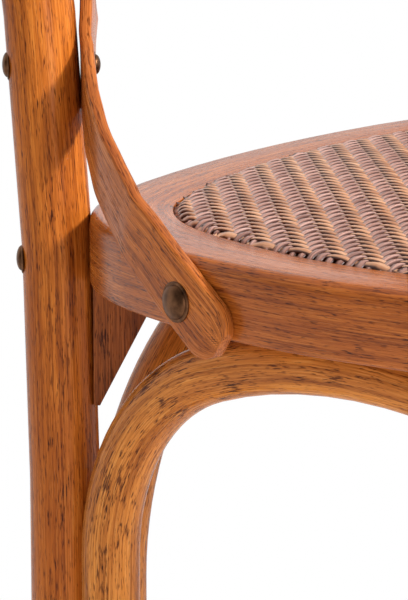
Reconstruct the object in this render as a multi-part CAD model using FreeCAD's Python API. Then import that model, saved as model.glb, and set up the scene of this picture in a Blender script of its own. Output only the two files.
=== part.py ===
import FreeCAD, Part
import math
import os

V = FreeCAD.Vector
X_AXIS = V(1, 0, 0)
Y_AXIS = V(0, 1, 0)
Z_AXIS = V(0, 0, 1)

# Driving sizes of the whole chair, in millimetres.
# +Z is up, the sitter faces -Y, and the part is moved at the end so that its box is centred on the origin.

total_height = 886.0
seat_height = 458.0
leg_spacing = 370.0
rod_d = 34.0
arch_d = 28.0
seat_depth_behind_leg = 21.0
frame_thick = 34.0
frame_width = 36.0
ledge_width = 20.0
ledge_thick = 12.0
board_thick = 12.0
panel_gap = 1.2
panel_rise = 8.0
strap_width = 30.0
strap_thick = 6.0
seam = 0.3
bend_sag = 0.8

# Sizes that follow from the ones above.

rod_r = rod_d / 2
arch_r = arch_d / 2
half_spacing = leg_spacing / 2
frame_under = seat_height - frame_thick
ledge_top = frame_under + ledge_thick
board_top = ledge_top + board_thick

# Helpers that several pieces share.


def polar(degrees, length=1.0):
    a = math.radians(degrees)
    return V(length * math.cos(a), length * math.sin(a), 0)


def turned(vector, axis, degrees):
    return FreeCAD.Rotation(axis, degrees).multVec(vector)


def follow(start, heading, moves):
    """A smooth wire of straight runs (length,) and arcs (radius, degrees, axis)."""
    edges = []
    p = start
    t = heading
    for move in moves:
        if len(move) == 1:
            q = p + t * move[0]
            edges.append(Part.LineSegment(p, q).toShape())
            p = q
            continue
        radius, degrees, axis = move
        centre = p + axis.cross(t) * radius
        mid = centre + turned(p - centre, axis, degrees / 2)
        q = centre + turned(p - centre, axis, degrees)
        edges.append(Part.Arc(p, mid, q).toShape())
        p = q
        t = turned(t, axis, degrees)
    return Part.Wire(edges), p, t


def rod(start, heading, moves, radius):
    """A round rod bent along the same kind of route.  Its bends are short straight lengths that hug the arc."""
    points = [start]
    p = start
    t = heading
    for move in moves:
        if len(move) == 1:
            p = p + t * move[0]
            continue
        bend, degrees, axis = move
        centre = p + axis.cross(t) * bend
        count = math.ceil(degrees / math.degrees(2 * math.acos(1 - bend_sag / bend)))
        half_step = degrees / count / 2
        corner = (p - centre) * (1 / math.cos(math.radians(half_step)))
        points += [centre + turned(corner, axis, half_step * (2 * i + 1)) for i in range(count)]
        p = centre + turned(p - centre, axis, degrees)
        t = turned(t, axis, degrees)
    points.append(p)
    disc = Part.Wire([Part.makeCircle(radius, start, heading)])
    drawn = Part.makePolygon(points).makePipeShell([disc], True, False, 1)
    return Part.Solid(drawn.Shells[0])


def ring(radius, z, sides):
    """A many-sided ring at a height."""
    corners = [polar(360 * i / sides, radius) + Z_AXIS * z for i in range(sides)]
    return Part.makePolygon(corners + corners[:1])


def prism(radius, low, high, sides):
    return Part.Face(ring(radius, low, sides)).extrude(Z_AXIS * (high - low))


def mirrored(shape):
    return shape.mirror(V(0, 0, 0), X_AXIS)


def both(shape):
    return [shape, mirrored(shape)]


def placed(shape, point, direction):
    """Moves a shape drawn along +Z from the origin to a point, with +Z turned to a direction."""
    copy = shape.copy()
    copy.Placement = FreeCAD.Placement(point, FreeCAD.Rotation(Z_AXIS, direction))
    return copy


head_sides = 12
shank_sides = 6


def stud(point, outward, head_d, dome, shank_d, length):
    """A domed head on a plain shank, its flat underside at the point and its dome facing outward."""
    rim = 0.8
    head_r = head_d / 2
    steps = [(head_r, 0), (head_r, rim), (0.72 * head_r, rim + 0.62 * dome), (0.3 * head_r, rim + dome)]
    head = Part.makeLoft([ring(radius, z, head_sides) for radius, z in steps], True, True)
    shank = prism(shank_d / 2, -length, 0, shank_sides)
    return placed(head.fuse(shank), point, outward)


def screw(point, outward, head_d, head_h, shank_d, length):
    """A plain screw with a flat six-sided head, its underside at the point."""
    head = prism(head_d / 2, 0, head_h, shank_sides)
    shank = prism(shank_d / 2, -length, 0, shank_sides)
    return placed(head.fuse(shank), point, outward)


def room_for(point, outward, head_d, sides, shank_d, length, play=0.15):
    """The hole that such a fastener needs, with a flat seat for its head."""
    shank = prism(shank_d / 2 + play, -length - 0.5, 0, shank_sides)
    head = prism(head_d / 2 + play, 0, 12, sides)
    return placed(shank.fuse(head), point, outward)


def without(shape, cutters):
    return shape.cut(Part.makeCompound(cutters))


# Seat outline.
# Half the outline runs from the middle of the back edge round the left side to the middle of the front,
# as arcs that meet smoothly: (radius, degrees turned).  An inset outline is the same arcs, all that much tighter.

# The front corner is as tight as the ledge inside it allows.

ledge_corner = 4.0
front_corner_radius = frame_width + ledge_width + ledge_corner
half_outline = [(680, 9), (270, 11), (110, 15), (140, 30), (320, 25), (1300, 7), (front_corner_radius, 73)]
front_turn = 180 - sum(turn for radius, turn in half_outline)


def outline_stops(inset=0.0):
    """The points and headings where the arcs of the half outline meet."""
    p = V(0, seat_depth_behind_leg - inset, 0)
    heading = 180.0
    stops = [(p, heading)]
    for radius, turn in half_outline:
        r = radius - inset
        centre = p + polar(heading + 90, r)
        heading += turn
        p = centre + polar(heading - 90, r)
        stops.append((p, heading))
    return stops


def outline_point(heading, inset=0.0):
    """The point of the half outline that runs at a given heading, with its outward direction."""
    p = V(0, seat_depth_behind_leg - inset, 0)
    h = 180.0
    for radius, turn in half_outline:
        r = radius - inset
        centre = p + polar(h + 90, r)
        if heading <= h + turn:
            return centre + polar(heading - 90, r), polar(heading - 90)
        h += turn
        p = centre + polar(h - 90, r)
    return p, polar(h - 90)


def outline_wire(inset, z):
    stops = outline_stops(inset)
    front_radius = -outline_stops()[-1][0].x / math.sin(math.radians(front_turn)) - inset
    arcs = [(radius - inset, turn) for radius, turn in half_outline]
    moves = [(radius, turn, Z_AXIS) for radius, turn in arcs]
    moves.append((front_radius, 2 * front_turn, Z_AXIS))
    moves += [(radius, turn, Z_AXIS) for radius, turn in reversed(arcs)]
    wire, end, heading = follow(V(0, stops[0][0].y, z), V(-1, 0, 0), moves)
    return Part.Wire(wire.Edges)


def outline_slab(inset, z_low, z_high):
    return Part.Face(outline_wire(inset, z_low)).extrude(V(0, 0, z_high - z_low))


# Back hoop: one steamed round rod that makes both back legs and the hoop of the back.
# Each side stands straight at the seat, kicks back at the floor and leans back above the seat.

glide_thick = 4.0
kick_start = 160.0
kick_radius = 900.0
lean_start = seat_height - 133.0
lean_radius = 2000.0
corner_radius = 95.0
crown_angle = 6.0

crown_radius = (half_spacing - corner_radius * (1 - math.sin(math.radians(crown_angle))))
crown_radius = crown_radius / math.sin(math.radians(crown_angle))
hoop_rise = corner_radius * math.cos(math.radians(crown_angle))
hoop_rise += crown_radius * (1 - math.cos(math.radians(crown_angle)))


def lean_at(z):
    """How far back the axis of the hoop's side lies at a height, and the angle it leans at there."""
    angle = math.asin(max(0.0, z - lean_start) / lean_radius)
    return lean_radius * (1 - math.cos(angle)), math.degrees(angle)


shoulder = total_height - rod_r - hoop_rise
for step in range(20):
    hoop_back, hoop_lean = lean_at(shoulder)
    shoulder = total_height - rod_r - hoop_rise * math.cos(math.radians(hoop_lean))
hoop_back, hoop_lean = lean_at(shoulder)
hoop_up = V(0, math.sin(math.radians(hoop_lean)), math.cos(math.radians(hoop_lean)))
hoop_front = X_AXIS.cross(hoop_up)


def hoop_corner(degrees):
    """The point on the right corner of the hoop's axis, some degrees round from its side."""
    a = math.radians(degrees)
    side = V(half_spacing, hoop_back, shoulder)
    inward = corner_radius * (1 - math.cos(a))
    return side + hoop_up * (corner_radius * math.sin(a)) - X_AXIS * inward


kick_angle = math.degrees(math.asin(kick_start / kick_radius))
foot_back = kick_radius * (1 - math.cos(math.radians(kick_angle)))
foot_heading = turned(Z_AXIS, X_AXIS, kick_angle)
below_floor = 10.0
side_moves = [
    (below_floor,),
    (kick_radius, kick_angle, V(-1, 0, 0)),
    (lean_start - kick_start,),
    (lean_radius, hoop_lean, V(-1, 0, 0)),
    (corner_radius, 90 - crown_angle, hoop_front * -1),
    (crown_radius, crown_angle, hoop_front * -1),
]
foot = V(-half_spacing, foot_back, 0) - foot_heading * below_floor
half_hoop = rod(foot, foot_heading, side_moves, rod_r)
half_hoop = half_hoop.common(Part.makeBox(400, 900, 1200, V(-400, -300, glide_thick)))
back_hoop = half_hoop.fuse(mirrored(half_hoop)).removeSplitter()

# Local directions at the left back leg.  "Across" points from the leg diagonally in under the seat,
# which is how the corner bolts and the gusset lie, and "along" is level and square to it.

leg_axis = V(-half_spacing, 0, 0)
across_heading = -55.0
across = polar(across_heading)
along = polar(across_heading + 90)


def at_leg(a, b, z):
    """A point given from the left back leg's axis: across, along, and its height."""
    return leg_axis + across * a + along * b + Z_AXIS * z


# Seat frame: a bent rail with a ledge inside for the seat board.  Its rounded outer edge is two flats here.
# It is a long U that takes in the back corners, and a shorter front rail.

frame_round = 6.0
frame_ease_under = 2.0
frame_ease_inner = 1.5
joint_y = -300.0


def level_edges(shape, z):
    return [e for e in shape.Edges if e.BoundBox.ZLength < 0.01 and abs(e.BoundBox.ZMin - z) < 0.01]


frame = outline_slab(0, frame_under, seat_height)
frame = frame.makeChamfer(frame_round, 0.42 * frame_round, level_edges(frame, seat_height))
frame = frame.makeChamfer(0.4 * frame_round, level_edges(frame, seat_height))
frame = frame.makeChamfer(frame_ease_under, level_edges(frame, frame_under))
rim_path = outline_wire(frame_width, seat_height)
frame = frame.cut(outline_slab(frame_width, ledge_top, seat_height + 1))
inner_rim = [e for e in level_edges(frame, seat_height) if rim_path.distToShape(e)[0] < 0.01]
frame = frame.makeChamfer(frame_ease_inner, inner_rim)
frame = frame.cut(outline_slab(frame_width + ledge_width, frame_under - 1, ledge_top + 1))

# The back corners have a small flat where they seat in the notches of the legs.
# Each notch is one saw cut, turned a little towards the front, under a sloping shoulder.

notch_turn = -10.0
notch_depth = 13.2
notch_slope = 20.0
notch_heading = across_heading + notch_turn
notch_back = lean_at(seat_height - frame_thick / 2)[0]
notch_face = leg_axis + Y_AXIS * notch_back + polar(notch_heading, notch_depth)
notch_turned = FreeCAD.Rotation(Z_AXIS, notch_heading)

corner_flat = Part.makeBox(60, 120, 2 * frame_thick, V(-60, -60, 0))
corner_flat.Placement = FreeCAD.Placement(notch_face + Z_AXIS * (frame_under - 10), notch_turned)
frame = without(frame, both(corner_flat))

leg_notch = Part.makeBox(60, 120, 2 * frame_thick, V(0, -60, 0))
leg_notch.Placement = FreeCAD.Placement(notch_face + Z_AXIS * (frame_under - 2), notch_turned)
shoulder_block = Part.makeBox(200, 200, 80, V(-100, -100, 0))
shoulder_block.Placement = FreeCAD.Placement(
    leg_axis + Z_AXIS * (seat_height + 1), FreeCAD.Rotation(across, notch_slope) * notch_turned)
back_hoop = without(back_hoop, both(leg_notch.cut(shoulder_block)))
back_hoop = without(back_hoop, [frame])

# Seat board and woven seat: a plywood board on the ledge, and the crowned cane panel over it.

crown_sphere = 4500.0

inset = frame_width + panel_gap
seat_board = outline_slab(inset, ledge_top, board_top)
panel_middle = (outline_stops()[0][0].y + outline_stops()[-1][0].y) / 2
ball_centre = V(0, panel_middle, seat_height + panel_rise - crown_sphere)
ball = Part.makeSphere(crown_sphere, ball_centre, X_AXIS)
woven_seat = outline_slab(inset, board_top, seat_height + 2 * panel_rise).common(ball)

# Front legs: turned round legs, straight where the arches lie against them and tapered below,
# with a tenon up into the corner of the frame.

foot_r = 12.5
taper_top = 235.0
leg_sides = 24
tenon_r = 9.0
tenon_long = 20.0
front_corner, front_outward = outline_point(313, 22)


def front_leg():
    heights = [(foot_r, glide_thick), (rod_r, taper_top), (rod_r, frame_under)]
    leg = Part.makeLoft([ring(radius, z, leg_sides) for radius, z in heights], True, True)
    tenon = Part.makeCylinder(tenon_r, tenon_long, V(0, 0, frame_under))
    leg = leg.fuse(tenon)
    leg.translate(front_corner)
    return leg


front_leg_left = front_leg()
tenon_hole = Part.makeCylinder(tenon_r + 0.1, tenon_long + 1, front_corner + Z_AXIS * frame_under)
frame = without(frame, both(tenon_hole))

# Arches under the seat: bent round rods whose legs lie against the chair's legs and whose crowns,
# flattened a little on top, bear on the underside of the frame.

arch_low = 168.0
arch_bend = 108.0
arch_flat = 0.8
arch_crown_turn = 8.0
beside = rod_r + arch_r + seam
crown_z = frame_under - arch_r + arch_flat


def arch_crown_radius(left, right):
    """The wide curve that joins the two bends of an arch between two feet."""
    lean = math.sin(math.radians(arch_crown_turn))
    return (left.distanceToPoint(right) / 2 - arch_bend * (1 - lean)) / lean


def arch(left, right):
    """An arch from one foot to the other, given as points on the floor."""
    run = (right - left).normalize()
    square = Z_AXIS.cross(run)
    wide = arch_crown_radius(left, right)
    level = math.cos(math.radians(arch_crown_turn))
    rise = crown_z - arch_low - arch_bend * level - wide * (1 - level)
    bend = (arch_bend, 90 - arch_crown_turn, square)
    over = (wide, 2 * arch_crown_turn, square)
    bent = rod(left + Z_AXIS * arch_low, Z_AXIS, [(rise,), bend, over, bend, (rise,)], arch_r)
    above = Part.makeBox(1000, 1000, 60, V(-500, -700, frame_under))
    return bent.cut(above)


side_back = leg_axis + polar(-98.9, beside)
side_front = front_corner + polar(95.0, beside)
rear_foot = leg_axis + polar(-17.9, beside)
front_foot = front_corner + polar(-8.0, beside)
side_arch_left = arch(side_back, side_front)
rear_arch = arch(rear_foot, V(-rear_foot.x, rear_foot.y, 0))
front_arch = arch(front_foot, V(-front_foot.x, front_foot.y, 0))

# Corner gussets: upright wedges of wood glued between the back legs and the underside of the frame.

gusset_thick = 18.0
gusset_in = 14.5
gusset_out = 49.0
gusset_drop = 61.0
gusset_tip = 3.0

corners = [
    (gusset_in, frame_under), (gusset_out, frame_under),
    (gusset_in + gusset_tip, frame_under - gusset_drop), (gusset_in, frame_under - gusset_drop),
]
gusset_ring = [at_leg(a, -gusset_thick / 2, z) for a, z in corners]
corner_gusset_left = Part.Face(Part.makePolygon(gusset_ring + gusset_ring[:1])).extrude(along * gusset_thick)
back_hoop = without(back_hoop, both(corner_gusset_left))

# Cross straps: flat bands of bent wood.  Each starts on the outer side of the frame, rises past the
# inner side of the back leg, where it is bolted, and crosses the back to the hoop's other shoulder.

strap_end_heading = 257.6
strap_stud_heading = 254.5
bolt_rise = 70.0
strap_top_angle = 36.0
strap_half = strap_thick / 2
strap_play = 0.15

bolt_axis = at_leg(0, 0, seat_height + bolt_rise) + Y_AXIS * lean_at(seat_height + bolt_rise)[0]
bolt_strap = bolt_axis + across * (rod_r + seam / 2 + strap_half)
top_axis = hoop_corner(strap_top_angle)
top_strap = top_axis + hoop_front * (rod_r + seam / 2 + strap_half)
cross_z = (bolt_strap.z + top_strap.z) / 2 + 6
cross_lean = lean_at(cross_z)[1]
cross_front = turned(V(0, -1, 0), X_AXIS, -cross_lean)
cross_middle = V(0, lean_at(cross_z)[0], cross_z) + cross_front * 11


def on_frame(heading, rise):
    p, outward = outline_point(heading)
    return p + outward * (strap_half + strap_play) + Z_AXIS * (seat_height + rise)


def in_back(x, z, front):
    return V(x, lean_at(z)[0], z) + cross_front * front


def strap(layer):
    """The strap that starts at the left of the seat, in front (+1) or behind (-1) at the crossing."""
    middle = cross_middle + cross_front * layer * (strap_half + strap_play)
    route = [
        on_frame(strap_end_heading + 3.0, -43.5),
        on_frame(strap_end_heading, -32.0),
        on_frame(strap_stud_heading, -19.0),
        on_frame(250.5, -3.0),
        on_frame(246.5, 12.5),
        (on_frame(246.5, 12.5) + bolt_strap) * 0.5 + polar(across_heading + 195, 6.4),
        bolt_strap,
        in_back(-0.69 * half_spacing, bolt_strap.z + 0.30 * (cross_z - bolt_strap.z), 8.0),
        in_back(-0.35 * half_spacing, bolt_strap.z + 0.65 * (cross_z - bolt_strap.z), 9.0),
        middle,
        (middle * 0.5 + top_strap * 0.5) + cross_front * 1.0,
        top_strap,
        top_strap + (top_strap - middle).normalize() * strap_width * 0.55,
    ]
    curve = Part.BSplineCurve()
    curve.interpolate(route)
    first = curve.FirstParameter
    last = curve.LastParameter
    count = 20
    rings = []
    for i in range(count + 1):
        t = first + (last - first) * i / count
        p, t_vec, n_vec, w_vec = strap_frame(curve, t)
        rings.append(strap_ring(p, n_vec, w_vec))
    band = Part.makeLoft(rings, True, True)
    low = end_cutter(curve, curve.parameter(route[1]), -1)
    high = end_cutter(curve, curve.parameter(route[11]), 1)
    return band.cut(low).cut(high)


def strap_frame(curve, t):
    """Point, direction, face direction and width direction of a strap at a parameter of its curve."""
    p = curve.value(t)
    t_vec = V(*curve.tangent(t)[0]).normalize()
    level = V(t_vec.y, -t_vec.x, 0).normalize()
    lean = math.tan(math.radians(cross_lean)) * min(1.0, max(0.0, (p.z - bolt_strap.z) / 90))
    n_vec = level + Z_AXIS * lean
    n_vec = (n_vec - t_vec * n_vec.dot(t_vec)).normalize()
    return p, t_vec, n_vec, n_vec.cross(t_vec).normalize()


def strap_ring(p, n_vec, w_vec):
    """The strap's section, a thin rectangle."""
    across_strap = w_vec * strap_width / 2
    through = n_vec * strap_half
    ring = [
        p + across_strap + through, p - across_strap + through,
        p - across_strap - through, p + across_strap - through]
    return Part.makePolygon(ring + ring[:1])


def end_cutter(curve, t, way):
    """What to take off a strap's end to leave it fully round."""
    p, t_vec, n_vec, w_vec = strap_frame(curve, t)
    out = t_vec * way
    corner = p - w_vec * strap_width - n_vec * strap_width
    block = Part.Face(Part.makePolygon([
        corner, corner + w_vec * 2 * strap_width, corner + w_vec * 2 * strap_width + out * 60,
        corner + out * 60, corner])).extrude(n_vec * 2 * strap_width)
    tip = Part.makeCylinder(strap_width / 2, 3 * strap_width, p - n_vec * 1.5 * strap_width, n_vec)
    return block.cut(tip)


cross_strap_left = strap(1).cut(frame)
cross_strap_right = mirrored(strap(-1)).cut(frame)

# Fasteners: domed bronzed studs and bolts, and plain screws where they are out of sight.

head_sink = 1.2
bolt_head = 15.0
bolt_front_head = 12.6
bolt_dome = 2.7
bolt_shank = 6.0
stud_head = 18.4
stud_dome = 3.0
screw_head = 9.0
screw_dome = 1.6
screw_shank = 4.0


def through_bolt(back, front, back_head, front_head):
    """A bolt from one flat seat to another, with a domed head at each end."""
    run = (front - back).normalize()
    long = back.distanceToPoint(front)
    near = stud(back, run * -1, back_head, bolt_dome, bolt_shank, long / 2)
    far = stud(front, run, front_head, bolt_dome, bolt_shank, long / 2)
    return near.fuse(far).removeSplitter()


def bolt_room(back, front, back_head, front_head):
    run = (front - back).normalize()
    long = back.distanceToPoint(front)
    near = room_for(back, run * -1, back_head, head_sides, bolt_shank, long / 2)
    far = room_for(front, run, front_head, head_sides, bolt_shank, long / 2)
    return near.fuse(far)


strap_bolt_ends = (
    bolt_axis - across * (rod_r - head_sink), bolt_strap + across * strap_half, bolt_head, bolt_front_head)
top_bolt_ends = (
    top_axis - hoop_front * (rod_r - head_sink), top_strap + hoop_front * strap_half,
    bolt_front_head, bolt_front_head)
cross_reach = strap_thick + strap_play
cross_bolt_ends = (
    cross_middle - cross_front * cross_reach, cross_middle + cross_front * cross_reach,
    bolt_front_head, bolt_front_head)
strap_bolt = through_bolt(*strap_bolt_ends)
strap_bolt_room = bolt_room(*strap_bolt_ends)
top_bolt = mirrored(through_bolt(*top_bolt_ends))
top_bolt_room = mirrored(bolt_room(*top_bolt_ends))
cross_bolt = through_bolt(*cross_bolt_ends)
cross_bolt_room = bolt_room(*cross_bolt_ends)

seat_bolt_z = seat_height - 25.0
seat_bolt_seat = at_leg(0, 0, seat_bolt_z) + Y_AXIS * lean_at(seat_bolt_z)[0] - across * (rod_r - head_sink)
seat_bolt_spec = (seat_bolt_seat, across * -1, bolt_head)
seat_bolt = stud(*seat_bolt_spec, bolt_dome, bolt_shank, 2 * rod_r + 26)
seat_bolt_room = room_for(*seat_bolt_spec, head_sides, bolt_shank, 2 * rod_r + 26)

stud_point, stud_outward = outline_point(strap_stud_heading)
stud_seat = stud_point + stud_outward * (strap_thick + strap_play) + Z_AXIS * (seat_height - 19.0)
end_stud = stud(stud_seat, stud_outward, stud_head, stud_dome, 5.0, 26.0)
end_stud_room = room_for(stud_seat, stud_outward, stud_head, head_sides, 5.0, 26.0)

fasteners = {
    "strap_bolts": both(strap_bolt),
    "strap_top_bolts": both(top_bolt) + [cross_bolt],
    "seat_bolts": both(seat_bolt),
    "strap_end_studs": both(end_stud),
}
rooms = both(strap_bolt_room) + both(top_bolt_room) + [cross_bolt_room]
rooms += both(seat_bolt_room) + both(end_stud_room)

# Screws through the feet of the arches into the legs, and up through their crowns into the frame.

foot_screw_z = 190.0


def foot_screw(foot, leg):
    inward = (leg - foot).normalize()
    seat = foot - inward * (arch_r - 1.0) + Z_AXIS * foot_screw_z
    return (seat, inward * -1)


def crown_screws(left, right):
    run = (right - left).normalize()
    middle = (left + right) * 0.5
    wide = arch_crown_radius(left, right)
    reach = 30.0
    fall = wide - math.sqrt(wide ** 2 - reach ** 2)
    low = Z_AXIS * (crown_z - fall - arch_r + 1.0)
    return [(middle + run * reach * side + low, Z_AXIS * -1) for side in (-1, 1)]


foot_spots = [
    foot_screw(side_back, leg_axis), foot_screw(side_front, front_corner),
    foot_screw(rear_foot, leg_axis), foot_screw(front_foot, front_corner),
]
crown_spots = crown_screws(side_back, side_front)
middle_spots = crown_screws(rear_foot, V(-rear_foot.x, rear_foot.y, 0))
middle_spots += crown_screws(front_foot, V(-front_foot.x, front_foot.y, 0))

arch_leg_screws = []
for seat, outward in foot_spots:
    arch_leg_screws += both(screw(seat, outward, screw_head, screw_dome, screw_shank, arch_d + 10))
    rooms += both(room_for(seat, outward, screw_head, shank_sides, screw_shank, arch_d + 10))
arch_crown_screws = []
for seat, outward in crown_spots:
    arch_crown_screws += both(screw(seat, outward, screw_head, screw_dome, screw_shank, arch_d + 8))
    rooms += both(room_for(seat, outward, screw_head, shank_sides, screw_shank, arch_d + 8))
for seat, outward in middle_spots:
    arch_crown_screws.append(screw(seat, outward, screw_head, screw_dome, screw_shank, arch_d + 8))
    rooms.append(room_for(seat, outward, screw_head, shank_sides, screw_shank, arch_d + 8))
fasteners["arch_leg_screws"] = arch_leg_screws
fasteners["arch_crown_screws"] = arch_crown_screws

# Screws up through the ledge that hold the seat board.

board_screws = []
for heading in (213, 318):
    p, outward = outline_point(heading, frame_width + ledge_width / 2)
    seat = p + Z_AXIS * frame_under
    long = ledge_thick + board_thick - 3
    board_screws += both(screw(seat, Z_AXIS * -1, screw_head - 1, screw_dome, screw_shank - 1, long))
    rooms += both(room_for(seat, Z_AXIS * -1, screw_head - 1, shank_sides, screw_shank - 1, long))
fasteners["board_screws"] = board_screws

# Dowels across the two joints of the frame.

dowel_r = 4.0
dowel_sides = 8
dowel_half = 14.0
dowels = []
for depth in (10.0, 25.0):
    x = outline_point(270)[0].x + depth
    p = V(x, joint_y, frame_under + frame_thick * 0.62)
    peg = placed(prism(dowel_r, -dowel_half, dowel_half, dowel_sides), p, Y_AXIS)
    room = placed(prism(dowel_r + 0.1, -dowel_half - 0.5, dowel_half + 0.5, dowel_sides), p, Y_AXIS)
    dowels += both(peg)
    frame = without(frame, both(room))

# Foot glides: small moulded pads nailed under the four legs.

glide_r = 10.5
foot_centre = V(-half_spacing, foot_back, 0)
glides = []
for p in (foot_centre, front_corner):
    glide = prism(glide_r, 0, glide_thick, leg_sides)
    glide.translate(V(p.x, p.y, 0))
    glides += both(glide)

# All pieces, each with the holes of the fasteners that pass through it.

front_half = Part.makeBox(700, 500, 100, V(-350, joint_y - 500, frame_under - 20))
pieces = {
    "back_hoop": back_hoop,
    "front_leg_left": front_leg_left,
    "front_leg_right": mirrored(front_leg_left),
    "seat_frame_back": frame.cut(front_half),
    "seat_frame_front": frame.common(front_half),
    "seat_board": seat_board,
    "woven_seat": woven_seat,
    "side_arch_left": side_arch_left,
    "side_arch_right": mirrored(side_arch_left),
    "front_arch": front_arch,
    "rear_arch": rear_arch,
    "corner_gusset_left": corner_gusset_left,
    "corner_gusset_right": mirrored(corner_gusset_left),
    "cross_strap_left": cross_strap_left,
    "cross_strap_right": cross_strap_right,
}
for node, shape in pieces.items():
    near = [room for room in rooms if room.BoundBox.intersect(shape.BoundBox)]
    if near:
        pieces[node] = without(shape, near)

for node, solids in fasteners.items():
    pieces[node] = Part.makeCompound(solids)
pieces["frame_dowels"] = Part.makeCompound(dowels)
pieces["foot_glides"] = Part.makeCompound(glides)

# Centre the whole chair over the origin and write one file a piece.

front_box = pieces["seat_frame_front"].optimalBoundingBox(False)
back_box = pieces["back_hoop"].optimalBoundingBox(False)
shift = V(0, -(front_box.YMin + back_box.YMax) / 2, 0)
os.makedirs("parts", exist_ok=True)
for node, shape in pieces.items():
    shape.translate(shift)
    shape.exportStep("parts/" + node + ".step")
print("depth", back_box.YMax - front_box.YMin, "height", back_box.ZMax)
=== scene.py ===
import bmesh
import bpy
import math
import random
from mathutils import Matrix, Vector, kdtree


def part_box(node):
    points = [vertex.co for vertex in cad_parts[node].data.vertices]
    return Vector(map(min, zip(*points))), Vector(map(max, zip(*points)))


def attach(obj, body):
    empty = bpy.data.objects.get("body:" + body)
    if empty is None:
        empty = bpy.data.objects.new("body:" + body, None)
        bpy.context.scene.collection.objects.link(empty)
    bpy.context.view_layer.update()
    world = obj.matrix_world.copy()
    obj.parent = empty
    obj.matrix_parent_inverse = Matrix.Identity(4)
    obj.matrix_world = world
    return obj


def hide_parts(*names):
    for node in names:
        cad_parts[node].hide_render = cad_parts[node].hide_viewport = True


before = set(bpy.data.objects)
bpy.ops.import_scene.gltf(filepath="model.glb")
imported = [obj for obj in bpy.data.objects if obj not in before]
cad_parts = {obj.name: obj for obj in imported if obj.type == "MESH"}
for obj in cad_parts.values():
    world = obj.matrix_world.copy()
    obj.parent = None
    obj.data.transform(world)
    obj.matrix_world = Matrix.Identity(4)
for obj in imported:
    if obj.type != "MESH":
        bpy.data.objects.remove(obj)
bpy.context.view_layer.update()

# Back hoop.
# One steamed round rod of elm makes both back legs, the uprights and the top rail.  It is bent hot over a
# form, its corners are notched for the seat, and it is stained, rubbed back and finished in satin lacquer.

X = Vector((1, 0, 0))
Y = Vector((0, 1, 0))
Z = Vector((0, 0, 1))
crease = 32

seat_top = 0.458
frame_under = 0.424
leg_x = -0.185
behind_leg = 0.021
leg_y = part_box("seat_frame_back")[1].y - behind_leg
rod_r = 0.017
glide_top = 0.004


def linear(code):
    """An sRGB hex colour as linear RGBA."""
    parts = [int(code[i:i + 2], 16) / 255 for i in (0, 2, 4)]
    return [c / 12.92 if c < 0.04045 else ((c + 0.055) / 1.055) ** 2.4 for c in parts] + [1.0]


def add(tree, kind, inputs=None, stops=(), **settings):
    """Adds a node, sets it up, and sets or links its inputs.  A colour ramp's stops are (place, colour)."""
    made = tree.nodes.new(kind)
    for name, value in settings.items():
        setattr(made, name, value)
    for name, value in (inputs or {}).items():
        if isinstance(value, bpy.types.NodeSocket):
            tree.links.new(value, made.inputs[name])
        else:
            made.inputs[name].default_value = value
    if stops:
        line = made.color_ramp.elements
        line[0].position = stops[0][0]
        line[-1].position = stops[-1][0]
        for place, code in stops[1:-1]:
            line.new(place)
        for element, (place, code) in zip(line, stops):
            element.color = linear(code)
    return made


def new_material(name):
    """A new material and its node tree, still empty."""
    mat = bpy.data.materials.new(name)
    mat.use_nodes = True
    mat.node_tree.nodes.clear()
    return mat, mat.node_tree


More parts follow.
